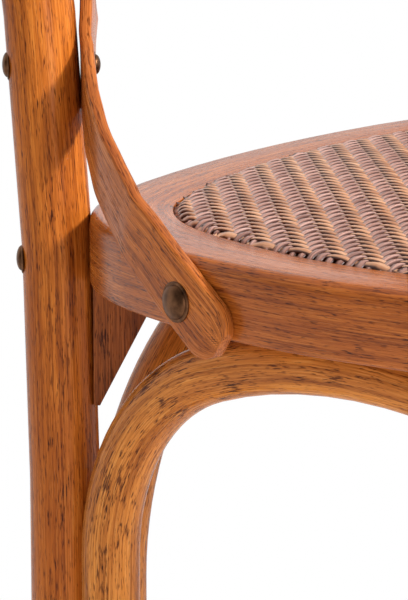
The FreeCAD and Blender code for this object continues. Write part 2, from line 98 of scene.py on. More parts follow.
def stained_elm(name, pale, body, deep, rubbed=0.5, drawn=True, fibre=(1, 1, 0), gloss=0.16):
    """Elm, stained, rubbed back and satin lacquered: open dark pores and streaks that run with the grain.
    The pattern lies in the straight wood before it was bent, so it follows every bend."""
    mat, tree = new_material(name)
    if drawn:
        place = add(tree, "ShaderNodeAttribute", attribute_name="grain").outputs["Vector"]
    else:
        place = add(tree, "ShaderNodeTexCoord").outputs["Object"]

    # Fibres, growth rings, figure, open pores and worn patches, each with its size across and along the
    # grain in metres.  Fibres and pores are about three times as coarse as real ones, so that they show.
    masks = []
    for across_grain, along_grain, detail, rough in (
            (0.0007, 0.026, 3.0, 0.6), (0.0028, 0.120, 2.0, 0.55), (0.014, 0.150, 3.0, 0.55),
            (0.00055, 0.0060, 1.0, 0.55), (0.008, 0.024, 5.0, 0.7)):
        scale = [1 / across_grain if way else 1 / along_grain for way in fibre]
        spread = add(tree, "ShaderNodeMapping", {"Vector": place, "Scale": scale})
        masks.append(add(tree, "ShaderNodeTexNoise", {
            "Vector": spread.outputs["Vector"], "Scale": 1.0, "Detail": detail, "Roughness": rough,
        }).outputs["Fac"])
    fibres, rings, figure, pores, worn = masks
    open_wood = add(
        tree, "ShaderNodeMath", {0: rings, 1: -0.30, 2: pores}, operation="MULTIPLY_ADD").outputs[0]
    broken = add(tree, "ShaderNodeMath", {0: pores, 1: 0.5, 2: worn}, operation="MULTIPLY_ADD").outputs[0]

    # Each layer of stain darkens the colour under it where its mask says.
    scuffed = 0.93 - 0.12 * rubbed
    wood = ((0.28, deep), (0.50, body), (0.74, pale))
    colour = add(tree, "ShaderNodeValToRGB", {"Fac": fibres}, wood).outputs["Color"]
    for mask, weight, stops in (
            (figure, 0.55, ((0.34, "b08c70"), (0.62, "ffffff"))),
            (rings, 0.45, ((0.36, "9a6e50"), (0.52, "ffffff"))),
            (open_wood, 0.75, ((0.43, "ffffff"), (0.55, "6e4428"))),
            (broken, 0.85, ((scuffed, "ffffff"), (scuffed + 0.10, "6a4830")))):
        stain = add(tree, "ShaderNodeValToRGB", {"Fac": mask}, stops)
        colour = add(
            tree, "ShaderNodeMix", {0: weight, 6: colour, 7: stain.outputs["Color"]},
            data_type="RGBA", blend_type="MULTIPLY").outputs[2]
    rough = add(tree, "ShaderNodeMapRange", {"Value": fibres, "To Min": 0.20, "To Max": 0.32})
    groove = add(tree, "ShaderNodeMapRange", {
        "Value": open_wood, "From Min": 0.40, "From Max": 0.54, "To Min": 1.0, "To Max": 0.0})
    bump = add(tree, "ShaderNodeBump", {"Height": groove.outputs[0], "Strength": 0.4, "Distance": 0.0002})
    shader = add(tree, "ShaderNodeBsdfPrincipled", {
        "Base Color": colour, "Roughness": rough.outputs[0], "Normal": bump.outputs[0], "IOR": 1.5,
        "Specular IOR Level": gloss})
    add(tree, "ShaderNodeOutputMaterial", {"Surface": shader.outputs[0]})
    return mat


def route(start, side, ahead, moves, step):
    """Frames along straight runs (length,) and bends (radius, degrees, axis), with X to one side and Z ahead.
    A bend gets one frame for about each step in degrees."""
    turned = Matrix((side, ahead.cross(side), ahead)).transposed().to_4x4()
    frames = [Matrix.Translation(start) @ turned]
    for move in moves:
        here = frames[-1]
        way = here.col[2].to_3d()
        if len(move) == 1:
            frames.append(Matrix.Translation(way * move[0]) @ here)
            continue
        radius, degrees, axis = move
        centre = here.translation + axis.cross(way) * radius
        count = max(1, round(degrees / step))
        part = Matrix.Rotation(math.radians(degrees / count), 4, axis)
        bend = Matrix.Translation(centre) @ part @ Matrix.Translation(-centre)
        for each in range(count):
            frames.append(bend @ frames[-1])
    return frames


def drawn_out(section, frames):
    """Draws a one-face mesh out through its frames.  Each point keeps its place in the straight wood."""
    straight = section.verts.layers.float_vector.new("straight")
    section.faces.ensure_lookup_table()
    cap = section.faces[0]
    for v in section.verts:
        v[straight] = (v.co.x, v.co.y, 0.0)
    section.transform(frames[0])
    run = 0.0
    for before, after in zip(frames, frames[1:]):
        out = bmesh.ops.extrude_face_region(section, geom=[cap])["geom"]
        if before is not frames[0]:
            section.faces.remove(cap)
        cap = next(g for g in out if isinstance(g, bmesh.types.BMFace))
        ring = [g for g in out if isinstance(g, bmesh.types.BMVert)]
        bmesh.ops.transform(section, matrix=after @ before.inverted(), verts=ring)
        run += (after.translation - before.translation).length
        for v in ring:
            v[straight] = (v[straight][0], v[straight][1], run)
    return section


def keep_grain(bm):
    """Writes each point's place in the straight wood on the corners of its faces, where cutting keeps it."""
    grain = bm.loops.layers.float_vector.new("grain")
    straight = bm.verts.layers.float_vector.get("straight")
    for face in bm.faces:
        for corner in face.loops:
            corner[grain] = corner.vert[straight] if straight else corner.vert.co
    if straight:
        bm.verts.layers.float_vector.remove(straight)


def close(bm):
    """Closes every open rim of a mesh."""
    bmesh.ops.holes_fill(bm, edges=[e for e in bm.edges if e.is_boundary], sides=0)


def trim(bm, place, kept_side):
    """Saws a mesh off at a plane and keeps the side that the direction points to."""
    everything = bm.verts[:] + bm.edges[:] + bm.faces[:]
    bmesh.ops.bisect_plane(bm, geom=everything, plane_co=place, plane_no=kept_side, clear_inner=True)
    close(bm)


def piece(name, bm, material, nodes=(), smooth=crease):
    """Finishes a mesh as a piece of the chair, in place of the nodes that it stands for.  Edges that turn by
    more than smooth, in degrees, stay sharp."""
    bmesh.ops.recalc_face_normals(bm, faces=bm.faces)
    mesh = bpy.data.meshes.new(name)
    bm.to_mesh(mesh)
    bm.free()
    mesh.shade_smooth()
    mesh.set_sharp_from_angle(angle=math.radians(smooth))
    mesh.materials.append(material)
    made = bpy.data.objects.new(name, mesh)
    bpy.context.scene.collection.objects.link(made)
    if nodes:
        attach(made, "root")
        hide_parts(*nodes)
    return made


def carve(made, cutter):
    """Cuts a shape out of a piece for good, lends the cut the shape's finish, and takes the shape away."""
    cut = made.modifiers.new("cut", "BOOLEAN")
    cut.object = cutter
    cut.solver = "EXACT"
    cut.material_mode = "TRANSFER"
    bpy.context.view_layer.update()
    after_cut = made.evaluated_get(bpy.context.evaluated_depsgraph_get())
    cut_mesh = bpy.data.meshes.new_from_object(after_cut)
    made.modifiers.clear()
    made.data = cut_mesh
    cut_mesh.shade_smooth()
    cut_mesh.set_sharp_from_angle(angle=math.radians(crease))
    bpy.data.objects.remove(cutter)


def ease(made, width, segments, angle):
    """Takes the sharpness off a piece's edges, as sanding does."""
    bevel = made.modifiers.new("eased", "BEVEL")
    bevel.width = width
    bevel.segments = segments
    bevel.limit_method = "ANGLE"
    bevel.angle_limit = math.radians(angle)


def round_section(radius, sides):
    """A flat disc, the end of a round rod."""
    section = bmesh.new()
    bmesh.ops.create_circle(section, cap_ends=True, segments=sides, radius=radius)
    return section


lean_start = seat_top - 0.133
lean_radius = 2.0
kick_start = 0.160
kick_radius = 0.900
corner_radius = 0.095
crown_turn = 6.0
crown_sine = math.sin(math.radians(crown_turn))
crown_cosine = math.cos(math.radians(crown_turn))
crown_radius = (-leg_x - corner_radius * (1 - crown_sine)) / crown_sine
hoop_rise = corner_radius * crown_cosine + crown_radius * (1 - crown_cosine)
hoop_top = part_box("back_hoop")[1].z
spare = 0.010


def lean_at(z):
    """How far back a side of the hoop lies at a height, and the angle it leans at there."""
    angle = math.asin(max(0.0, z - lean_start) / lean_radius)
    return lean_radius * (1 - math.cos(angle)), angle


# The height of the shoulders and the lean there hang on each other, so they are closed in on.
shoulder = hoop_top - rod_r - hoop_rise
for again in range(20):
    shoulder = hoop_top - rod_r - hoop_rise * math.cos(lean_at(shoulder)[1])
hoop_back, hoop_lean = lean_at(shoulder)
hoop_up = Vector((0, math.sin(hoop_lean), math.cos(hoop_lean)))
hoop_front = X.cross(hoop_up)
kick = math.asin(kick_start / kick_radius)
up_at_foot = Vector((0, -math.sin(kick), math.cos(kick)))
foot_y = leg_y + kick_radius * (1 - math.cos(kick))
foot = Vector((leg_x, foot_y, 0)) - up_at_foot * spare

rising = [
    (spare,), (kick_radius, math.degrees(kick), -X), (lean_start - kick_start,),
    (lean_radius, math.degrees(hoop_lean), -X),
]
to_crown = (corner_radius, 90 - crown_turn, -hoop_front)
over = [to_crown, (crown_radius, 2 * crown_turn, -hoop_front), to_crown]
falling = [(*move[:2], -move[2]) if len(move) == 3 else move for move in reversed(rising)]
hoop = drawn_out(round_section(rod_r, 40), route(foot, X, up_at_foot, rising + over + falling, 3.0))
keep_grain(hoop)
trim(hoop, Z * glide_top, Z)

# The long rod: a warm orange brown, with fine dark pores and a soft sheen down its length.
hoop_elm = stained_elm("stained elm, steam bent rod", "e08a38", "cb7026", "985018", 0.45)
hoop = piece("bent_hoop", hoop, hoop_elm, ["back_hoop"])

# Seat frame.
# Two steamed elm rails, a long one round both back corners and a short one at the front, butted and
# dowelled at the sides.  The upper outer edge is well rounded, and a ledge inside carries the seat.

frame_deep = 0.036
ledge_deep = 0.020
ledge_top = frame_under + 0.012
outline = [(0.680, 9), (0.270, 11), (0.110, 15), (0.140, 30), (0.320, 25), (1.300, 7), (0.060, 73)]
side_run = outline[:6]
front_run = outline[5:]
side_end = 180 + sum(turn for radius, turn in side_run)
front_turn = 180 - sum(turn for radius, turn in outline)
joint_y = leg_y - 0.300
top_round = 0.0058
under_round = 0.0022
inner_round = 0.0016
fill_deep = 0.0042
fill_middle = 43
fill_reach = 37
fill_pace = 2.4


def heading(degrees):
    """The level direction at so many degrees from +X."""
    return Vector((math.cos(math.radians(degrees)), math.sin(math.radians(degrees)), 0))


def outline_point(at, inset=0.0):
    """The point of the outline's left half that runs at a heading, and its outward direction.  The outline
    starts at the middle of the back, and each of its arcs is a radius and a turn in degrees."""
    p = Vector((0, leg_y + behind_leg - inset, 0))
    h = 180.0
    for radius, turn in outline:
        r = radius - inset
        centre = p + heading(h + 90) * r
        if at <= h + turn:
            return centre + heading(at - 90) * r, heading(at - 90)
        h += turn
        p = centre + heading(h - 90) * r
    return p, heading(h - 90)


def corner_fill(frame_at):
    """How much further in the rail reaches at a place on its route.  It is widest in the middle of each
    back corner, and the pace says how fast the extra width falls off."""
    turned = math.degrees(math.acos(max(-1.0, min(1.0, -frame_at.col[2].x))))
    if abs(turned - fill_middle) >= fill_reach:
        return 0.0
    return fill_deep * math.sqrt(math.cos(math.radians(turned - fill_middle) * fill_pace))


def rail_section():
    """The rail's section: outward is +X, and +Y is down from the rail's top."""
    section = bmesh.new()
    inner = -frame_deep
    ledge_edge = inner - ledge_deep
    tall = seat_top - frame_under
    to_ledge = seat_top - ledge_top
    corners = [(0, tall), (0, 0), (inner, 0), (inner, to_ledge), (ledge_edge, to_ledge), (ledge_edge, tall)]
    verts = [section.verts.new((x, y, 0)) for x, y in corners]
    section.faces.new(verts)
    rounds = ((verts[1], top_round, 6), (verts[0], under_round, 3), (verts[2], inner_round, 2))
    for vert, size, parts in rounds:
        bmesh.ops.bevel(
            section, geom=[vert], offset=size, offset_type="OFFSET", segments=parts, profile=0.5,
            affect="VERTICES", material=-1)
    return section


left_end = outline_point(side_end)[0]
front_bend = outline_point(360 - front_turn)[0]
front_radius = -front_bend.x / math.sin(math.radians(front_turn))
around = [(r, turn, Z) for r, turn in side_run[::-1] + side_run]
across_front = [(r, turn, Z) for r, turn in front_run + [(front_radius, 2 * front_turn)] + front_run[::-1]]
right_start = Vector((-left_end.x, left_end.y, seat_top))
right_way = 360 - side_end
left_start = outline_point(270)[0] + Z * seat_top
back_frames = route(right_start, heading(right_way - 90), heading(right_way), around, 2.5)
front_frames = route(left_start, heading(180), heading(270), across_front, 2.5)
back_rail = drawn_out(rail_section(), back_frames)
front_rail = drawn_out(rail_section(), front_frames)

# The inner side of the back rail moves further in round the corners.
runs = [0.0]
for before, after in zip(back_frames, back_frames[1:]):
    runs.append(runs[-1] + (after.translation - before.translation).length)
straight = back_rail.verts.layers.float_vector.get("straight")
for v in back_rail.verts:
    if v[straight].x < -frame_deep * 0.9:
        frame_at = back_frames[min(range(len(runs)), key=lambda i: abs(runs[i] - v[straight].z))]
        v.co -= frame_at.col[0].to_3d() * corner_fill(frame_at)
for bm, way in ((back_rail, Y), (front_rail, -Y)):
    keep_grain(bm)
    trim(bm, Y * joint_y, way)

# The rails: a redder brown than the rod, under more lacquer.
frame_elm = stained_elm("stained elm, steam bent rail", "d68238", "be6624", "884618", 0.4, gloss=0.3)
back_rail = piece("seat_rail_back", back_rail, frame_elm, ["seat_frame_back"])
front_rail = piece("seat_rail_front", front_rail, frame_elm, ["seat_frame_front"])

# Notches.
# Each back leg has one saw cut at the seat, under a sloping shoulder, and the corner of the seat frame
# has a small flat that beds in it.

across_heading = -55.0
across = heading(across_heading)
leg_line = Vector((leg_x, leg_y, 0))
saw_play = 0.0004
notch_face = outline_point(270 + across_heading)[0] + across * saw_play
flat_low = frame_under - 0.010
notch_low = frame_under - 0.002
notch_high = seat_top - 0.0015
cut_reach = 0.06
cut_tall = 0.068
above_reach = 0.1
above_tall = 0.08
shoulder_slope = 20


def block(low, high, place, finish):
    """A plain block to cut with, between two corners, then put in place.  It lends the cut its finish."""
    bm = bmesh.new()
    bmesh.ops.create_cube(bm, size=1.0)
    low = Vector(low)
    high = Vector(high)
    grow = Matrix.Diagonal((high - low).to_4d())
    grow[3][3] = 1
    bm.transform(place @ Matrix.Translation((low + high) / 2) @ grow)
    keep_grain(bm)
    return piece("cutter", bm, finish)


# Sawing opens pores that drink the stain, so a notch is darker than the rod round it, and matt; it is also
# painted darker as shade, for the recess under the seat frame.
shaded_cut_elm = stained_elm("stained elm, saw cut, painted shade", "8a5028", "74401f", "50290f", 0.4, gloss=0.0)
facing = Matrix.Rotation(math.radians(across_heading), 4, "Z")
slope = Matrix.Rotation(math.radians(shoulder_slope), 4, across)
for side in (1, -1):
    flip = Matrix.Diagonal((side, 1, 1, 1))
    flat_at = flip @ Matrix.Translation(notch_face + Z * flat_low) @ facing
    notch_at = flip @ Matrix.Translation(notch_face + Z * notch_low) @ facing
    above_at = flip @ Matrix.Translation(leg_line + Z * notch_high) @ slope @ facing
    flat = block((-cut_reach, -cut_reach, 0), (0, cut_reach, cut_tall), flat_at, frame_elm)
    notch = block((0, -cut_reach, 0), (cut_reach, cut_reach, cut_tall), notch_at, shaded_cut_elm)
    above = block((-above_reach, -above_reach, 0), (above_reach, above_reach, above_tall), above_at, shaded_cut_elm)
    carve(back_rail, flat)
    carve(notch, above)
    carve(hoop, notch)
ease(hoop, 0.0006, 2, 50)
ease(back_rail, 0.0005, 2, 50)
ease(front_rail, 0.0005, 2, 50)

# Seat board, front legs, corner gussets and dowels.
# The front legs are turned and straight, the gussets are wedges glued under the corners with their grain
# upright, and the thin plywood board lies on the ledge under the rattan.


def dress(node, finish):
    """Gives its finish to a node that stays as it is."""
    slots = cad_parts[node].data.materials
    slots.clear()
    slots.append(finish)


# Turned legs, as warm as the rod; sawn gussets redder, and painted dark as the shade under the seat; dull,
# pale board.
leg_elm = stained_elm("stained elm, turned", "da853a", "c56b26", "944e1a", 0.4, drawn=False)
shaded_gusset_elm = stained_elm("stained elm, sawn block, painted shade", "ba6629", "9c5322", "683615", 0.5, drawn=False)
plywood = stained_elm(
    "birch plywood, stained", "a0764c", "8a6038", "6c4526", 0.2, drawn=False, fibre=(0, 1, 1))
for node, finish in (
        ("front_leg_left", leg_elm), ("front_leg_right", leg_elm), ("corner_gusset_left", shaded_gusset_elm),
        ("corner_gusset_right", shaded_gusset_elm), ("seat_board", plywood), ("frame_dowels", plywood)):
    dress(node, finish)

# Arches.
# Four bent rods stand between the legs and carry the seat frame on their crowns, which are planed flat
# where they bear on it.  Their feet are screwed to the legs.

arch_r = 0.014
arch_low = 0.168
foot_gap = 0.0003
planed_off = 0.0008
beside = rod_r + arch_r + foot_gap
crown_z = frame_under - arch_r + planed_off
front_leg_at = 313
front_leg_in = 0.022
front_corner = outline_point(front_leg_at, front_leg_in)[0]
side_back = leg_line + heading(-98.9) * beside
side_front = front_corner + heading(95.0) * beside
rear_foot = leg_line + heading(-17.9) * beside
front_foot = front_corner + heading(-8.0) * beside
side_bow = 0.013
screw_out = 0.030
crown_seats = []


def mirrored(p):
    """The same point or direction on the other side of the chair."""
    return Vector((-p.x, p.y, p.z))


# The arches are rubbed back hardest: pale orange wood with dark scuffs where the stain stayed.  Each has
# its two feet, the radius and lean of its bends, and how far it bows outward on its way.
arch_elm = stained_elm("stained elm, bent arch", "f4a857", "e08c3c", "ae6427", 0.85)
for name, node, left, right, arch_bend, crown_lean, bow in (
        ("arch_left", "side_arch_left", side_back, side_front, 0.110, 20, side_bow),
        ("arch_right", "side_arch_right", mirrored(side_back), mirrored(side_front), 0.110, 20, -side_bow),
        ("arch_rear", "rear_arch", rear_foot, mirrored(rear_foot), 0.136, 26, 0.0),
        ("arch_front", "front_arch", front_foot, mirrored(front_foot), 0.120, 20, 0.0)):
    span = (right - left).length
    run = (right - left) / span
    square = Z.cross(run)
    leaning = math.radians(crown_lean)
    arch_wide = (span / 2 - arch_bend * (1 - math.sin(leaning))) / math.sin(leaning)
    rise = crown_z - arch_low - arch_bend * math.cos(leaning) - arch_wide * (1 - math.cos(leaning))
    bend = (arch_bend, 90 - crown_lean, square)
    moves = [(rise,), bend, (arch_wide, 2 * crown_lean, square), bend, (rise,)]
    path = route(left + Z * arch_low, run, Z, moves, 4.0)
    for step in path:
        share = max(0.0, min(1.0, (step.translation - left).dot(run) / span))
        step.translation -= square * (bow * math.sin(math.pi * share))
    arch = drawn_out(round_section(arch_r, 32), path)
    keep_grain(arch)
    trim(arch, Z * frame_under, -Z)
    ease(piece(name, arch, arch_elm, [node]), 0.0022, 3, 60)
    under = crown_z - arch_wide + math.sqrt(arch_wide ** 2 - screw_out ** 2) - arch_r
    for share in (0.5 - screw_out / span, 0.5 + screw_out / span):
        over_seat = left.lerp(right, share) - square * (bow * math.sin(math.pi * share))
        crown_seats.append(over_seat + Z * under)

# Cross straps.
# Two thin bands of bent elm.  Each starts in a round end on the corner of the seat frame, twists as it
# rises past the upright, and crosses the back to the far shoulder of the hoop, where it is bolted.

strap_wide = 0.030
strap_thick = 0.006
strap_half = strap_thick / 2
touch_gap = 0.00015
bolt_z = seat_top + 0.0675
bolt_axis = leg_line + Z * bolt_z + Y * lean_at(bolt_z)[0]
bolt_strap = bolt_axis + across * (rod_r + touch_gap + strap_half)
top_turn = math.radians(36)
hoop_side = Vector((-leg_x, leg_y + hoop_back, shoulder))
top_in = corner_radius * (1 - math.cos(top_turn))
top_axis = hoop_side + hoop_up * (corner_radius * math.sin(top_turn)) - X * top_in
top_strap = top_axis + hoop_front * (rod_r + touch_gap + strap_half)
cross_z = (bolt_strap.z + top_strap.z) / 2 + 0.006
cross_lean = lean_at(cross_z)[1]
cross_front = Vector((0, -math.cos(cross_lean), math.sin(cross_lean)))
cross_middle = Vector((0, leg_y + lean_at(cross_z)[0], cross_z)) + cross_front * 0.011
onward = Z.cross(across)
lean_within = 0.090
tip_share = 0.08


def on_frame(at, rise):
    """A stop on the outside of the seat frame, at a heading of its outline and a height from its top."""
    p, outward = outline_point(at)
    return p + outward * (strap_half + touch_gap) + Z * (seat_top + rise)


def off_corner(right, on, rise):
    """A stop beside the upright, measured across it, onward and up from where its line meets the seat."""
    return leg_line + Z * seat_top + across * right + onward * on + Z * rise


# A strap's stops: along the frame, then beside the upright below its bolt, above it, and up the back.
along_frame = [
    (259.05, -0.0365), (256.85, -0.0279), (254.1, -0.0171), (252.2, -0.0100), (249.3, 0.0007),
    (247.3, 0.0073)]
below_bolt = [
    (0.0320, -0.0800, 0.0128), (0.0262, -0.0665, 0.0218), (0.0210, -0.0530, 0.0310),
    (0.0174, -0.0385, 0.0401), (0.0147, -0.0240, 0.0496)]
above_bolt = [(0.0120, 0.0180, 0.0822), (0.0124, 0.0300, 0.0950), (0.0134, 0.0440, 0.1110)]
climb_share = 0.65
climb_z = bolt_strap.z + climb_share * (cross_z - bolt_strap.z)
climb = Vector((0.35 * leg_x, leg_y + lean_at(climb_z)[0], climb_z)) + cross_front * 0.009


def through(stops, parts):
    """A smooth line through the stops, in so many parts from each to the next."""
    padded = [stops[0] * 2 - stops[1]] + stops + [stops[-1] * 2 - stops[-2]]
    line = []
    for a, b, c, d in zip(padded, padded[1:], padded[2:], padded[3:]):
        gap = (c - b).length
        leaving = (c - a) / ((b - a).length + gap) * gap
        arriving = (d - b) / (gap + (d - c).length) * gap
        for part in range(parts):
            t = part / parts
            line.append(
                b * (2 * t ** 3 - 3 * t ** 2 + 1) + leaving * (t ** 3 - 2 * t ** 2 + t)
                + c * (3 * t ** 2 - 2 * t ** 3) + arriving * (t ** 3 - t ** 2))
    return line + [stops[-1]]


def strap_frames(layer):
    """Frames along the strap that starts at the left, in front (+1) or behind (-1) where they cross.  It is
    upright against the frame, leans with the back above the bolt, and narrows to a round tip at each end."""
    middle = cross_middle + cross_front * layer * (strap_half + touch_gap)
    end = top_strap + (top_strap - middle).normalized() * strap_wide / 2
    stops = [on_frame(*stop) for stop in along_frame] + [off_corner(*stop) for stop in below_bolt]
    stops += [bolt_strap] + [off_corner(*stop) for stop in above_bolt]
    stops += [climb, middle, (middle + top_strap) / 2 + cross_front * 0.001, top_strap, end]
    line = through(stops, 10)
    lengths = [0.0]
    for a, b in zip(line, line[1:]):
        lengths.append(lengths[-1] + (b - a).length)
    low_end = (stops[1] - stops[0]).length - strap_wide / 2
    frames = []
    for i, p in enumerate(line):
        reach = min(lengths[i] - low_end, lengths[-1] - lengths[i])
        if reach < 0:
            continue
        ahead = (line[min(i + 1, len(line) - 1)] - line[max(i - 1, 0)]).normalized()
        level = Vector((ahead.y, -ahead.x, 0)).normalized()
        lean = math.tan(cross_lean) * min(1.0, max(0.0, (p.z - bolt_strap.z) / lean_within))
        face = level + Z * lean
        face = (face - ahead * face.dot(ahead)).normalized()
        wide = face.cross(ahead).normalized()
        from_round = max(0.0, 1 - reach / (strap_wide / 2))
        share = max(tip_share, math.sqrt(max(0.0, 1 - from_round ** 2)))
        turned = Matrix((wide * share, face, ahead)).transposed().to_4x4()
        frames.append(Matrix.Translation(p) @ turned)
    return frames


def strap_section():
    """A flat oblong with eased corners, the end of a strap."""
    section = bmesh.new()
    bmesh.ops.create_grid(section, x_segments=1, y_segments=1, size=0.5)
    section.transform(Matrix.Diagonal((strap_wide, strap_thick, 1, 1)))
    bmesh.ops.bevel(
        section, geom=section.verts[:], offset=0.0013, offset_type="OFFSET", segments=3, profile=0.5,
        affect="VERTICES", material=-1)
    return section


# The straps: the same warm brown as the rod, with streaks that turn with the twist.
strap_elm = stained_elm("stained elm, bent strap", "e08c46", "ca7232", "965120", 0.45)
for name, node, layer, side in (
        ("strap_left", "cross_strap_left", 1, 1), ("strap_right", "cross_strap_right", -1, -1)):
    strap = drawn_out(strap_section(), strap_frames(layer))
    keep_grain(strap)
    strap.transform(Matrix.Diagonal((side, 1, 1, 1)))
    piece(name, strap, strap_elm, [node], 40)

# Woven seat.
# Flat strands of rattan peel, about 5 mm wide, woven two over and two under on a crowned panel.  They run
# a few degrees off square with the chair, and roll down over the panel's rim inside the seat frame.

panel_inset = frame_deep + 0.0010
panel_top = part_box("woven_seat")[1].z
panel_mid = Vector((0, (outline_point(180)[0].y + front_bend.y) / 2, 0))
crown_bend = 4.5
roll = 0.0045
weave_sink = 0.0024
ground_sink = 0.0019
weft_step = heading(-5) * 0.0054
warp_step = heading(81) * 0.0056
lattice = Matrix((weft_step.to_2d(), warp_step.to_2d())).transposed()
to_lattice = lattice.inverted()
strand_half = 0.00258
strand_deep = 0.0011
sway = 0.00075
drift = 0.0002
tip = 0.2
clear_of_tip = 0.4
settle = 1.3
pinch = 0.16
flatter = 0.7
first_phase = 0.125
most_strands = 48
fewest_crossings = 4
rim_parts = 5
all_round = [(r, turn, Z) for r, turn in outline + [(front_radius, 2 * front_turn)] + outline[::-1]]
ring_frames = route(Vector((0, leg_y + behind_leg, 0)), Y, -X, all_round, 2.0)
ring = [f @ Vector((-panel_inset - corner_fill(f), 0, 0)) for f in ring_frames]
ring_in_steps = [to_lattice @ (p - panel_mid).to_2d() for p in ring]
rim = kdtree.KDTree(len(ring) * rim_parts)
for i, (a, b) in enumerate(zip(ring, ring[1:] + ring[:1])):
    for part in range(rim_parts):
        rim.insert(a.lerp(b, part / rim_parts), i)
rim.balance()


def panel_height(p):
    """The height of the crowned panel, which rolls over at its rim."""
    from_rim = min(roll, rim.find((p.x, p.y, 0))[2])
    over_rim = roll - math.sqrt(roll ** 2 - (roll - from_rim) ** 2)
    return panel_top - weave_sink - (p - panel_mid).to_2d().length_squared / (2 * crown_bend) - over_rim


def reach_of(axis, value):
    """Where a strand enters and leaves the panel, counted in crossings."""
    hits = []
    for a, b in zip(ring_in_steps, ring_in_steps[1:]):
        if (a[axis] - value) * (b[axis] - value) < 0:
            t = (value - a[axis]) / (b[axis] - a[axis])
            hits.append(a[1 - axis] + t * (b[1 - axis] - a[1 - axis]))
    return (min(hits), max(hits)) if len(hits) > 1 else None


def strand(axis, i, low, high):
    """One strand, a closed six-sided tube from its low end to its high end, with a ring of points at every
    half crossing.  Four crossings make one wave of two over and two under, the next strand's wave is one
    crossing on, a float is flatter than a plain wave, and a strand settles on the panel at its ends."""
    stations = [k / 2 for k in range(math.ceil(low * 2), math.floor(high * 2) + 1)]
    stations = [s for s in stations if low + clear_of_tip < s < high - clear_of_tip]
    stations = [low, low + tip] + stations + [high - tip, high]
    sideways = (weft_step, warp_step)[axis].normalized()
    along_step = (warp_step, weft_step)[axis].length
    bm = bmesh.new()
    straight = bm.verts.layers.float_vector.new("straight")
    bmesh.ops.create_cone(bm, cap_ends=True, segments=6, radius1=1, radius2=1, depth=1)
    rails = [e for e in bm.edges if abs(e.verts[0].co.z - e.verts[1].co.z) > 0.5]
    cuts = len(stations) - 2
    bmesh.ops.subdivide_edges(bm, edges=rails, cuts=cuts)
    tone = random.random()
    shift = random.uniform(-drift, drift)
    for v in bm.verts:
        across_share, high_share = v.co.x, v.co.y
        at = stations[min(len(stations) - 1, max(0, round((v.co.z + 0.5) * (cuts + 1))))]
        phase = (at - i) / 4 if axis == 0 else (i - at) / 4
        wave = math.sin(2 * math.pi * (phase + first_phase))
        lift = math.copysign(abs(wave) ** flatter, wave) * (1 if axis == 0 else -1)
        lift *= min(1.0, min(at - low, high - at) / settle)
        p = panel_mid + (weft_step * i + warp_step * at if axis == 0 else weft_step * at + warp_step * i)
        p += sideways * (shift + strand_half * across_share * (1 - pinch + pinch * abs(lift)))
        v.co = p + Z * (panel_height(p) + sway * lift + strand_deep * high_share)
        v[straight] = (across_share * strand_half, tone, at * along_step)
    keep_grain(bm)
    return bm


def weave(axis):
    """All the strands of one set: 0 for those that run back and forth, 1 for those that run across."""
    bm = bmesh.new()
    one = bpy.data.meshes.new("one strand")
    random.seed(11 + axis)
    for i in range(-most_strands, most_strands + 1):
        ends = reach_of(axis, i)
        if ends and ends[1] - ends[0] >= fewest_crossings:
            made = strand(axis, i, *ends)
            made.to_mesh(one)
            made.free()
            bm.from_mesh(one)
    bpy.data.meshes.remove(one)
    return bm


def rattan(name, light, deep):
    """Rattan peel, the glossy skin of the cane: fine lines along each strand, and a tone of its own.
    Lacquer, dust and painted shade darken it towards its edges, where the strands press together.  The lines
    are 0.6 mm wide, about three times as coarse as real ones, so that they show, and 18 mm long."""
    mat, tree = new_material(name)
    place = add(tree, "ShaderNodeAttribute", attribute_name="grain").outputs["Vector"]
    parts = add(tree, "ShaderNodeSeparateXYZ", {0: place})
    spread = add(tree, "ShaderNodeMapping", {"Vector": place, "Scale": (1600, 40, 55)})
    lines = add(tree, "ShaderNodeTexNoise", {
        "Vector": spread.outputs[0], "Scale": 1.0, "Detail": 3.0}).outputs["Fac"]
    body = add(tree, "ShaderNodeValToRGB", {"Fac": lines}, ((0.28, deep), (0.70, light)))
    tones = ((0.0, "a8948c"), (0.5, "e8dcd4"), (1.0, "ffffff"))
    own = add(tree, "ShaderNodeValToRGB", {"Fac": parts.outputs["Y"]}, tones)
    toned = add(
        tree, "ShaderNodeMix", {0: 0.7, 6: body.outputs[0], 7: own.outputs[0]},
        data_type="RGBA", blend_type="MULTIPLY")
    # Dust and painted shade: each strand darkens towards its edges, where it presses on its neighbours.
    from_middle = add(tree, "ShaderNodeMath", {0: parts.outputs["X"]}, operation="ABSOLUTE")
    edges = add(tree, "ShaderNodeMapRange", {
        "Value": from_middle.outputs[0], "From Min": 0.0011, "From Max": 0.0021})
    edge_dust_and_shade = add(
        tree, "ShaderNodeMix", {0: edges.outputs[0], 6: toned.outputs[2], 7: linear("4a2214")},
        data_type="RGBA")
    rough = add(tree, "ShaderNodeMapRange", {"Value": lines, "To Min": 0.24, "To Max": 0.40})
    bump = add(tree, "ShaderNodeBump", {"Height": lines, "Strength": 0.15, "Distance": 0.0002})
    shader = add(tree, "ShaderNodeBsdfPrincipled", {
        "Base Color": edge_dust_and_shade.outputs[2], "Roughness": rough.outputs[0], "Normal": bump.outputs[0],
        "IOR": 1.5})
    add(tree, "ShaderNodeOutputMaterial", {"Surface": shader.outputs[0]})
    return mat


# Both sets are one peel: the strands that run back and forth are painted light, straw brown, and those across
# painted shade, mauve brown, for how the light falls on each way.  The layer of peel under both is painted
# shade, dark, so that the gaps of the weave read as deep.
lit_peel_along = rattan("rattan peel, lacquered, along, painted light", "f0bf98", "c4825a")
shaded_peel_across = rattan("rattan peel, lacquered, across, painted shade", "e2b6a8", "9c6a5c")
painted_shade_under = rattan("rattan peel, painted shade", "7c4a2e", "55301e")
piece("rattan_along", weave(0), lit_peel_along, ["woven_seat"], 100)
piece("rattan_across", weave(1), shaded_peel_across, ["woven_seat"], 100)
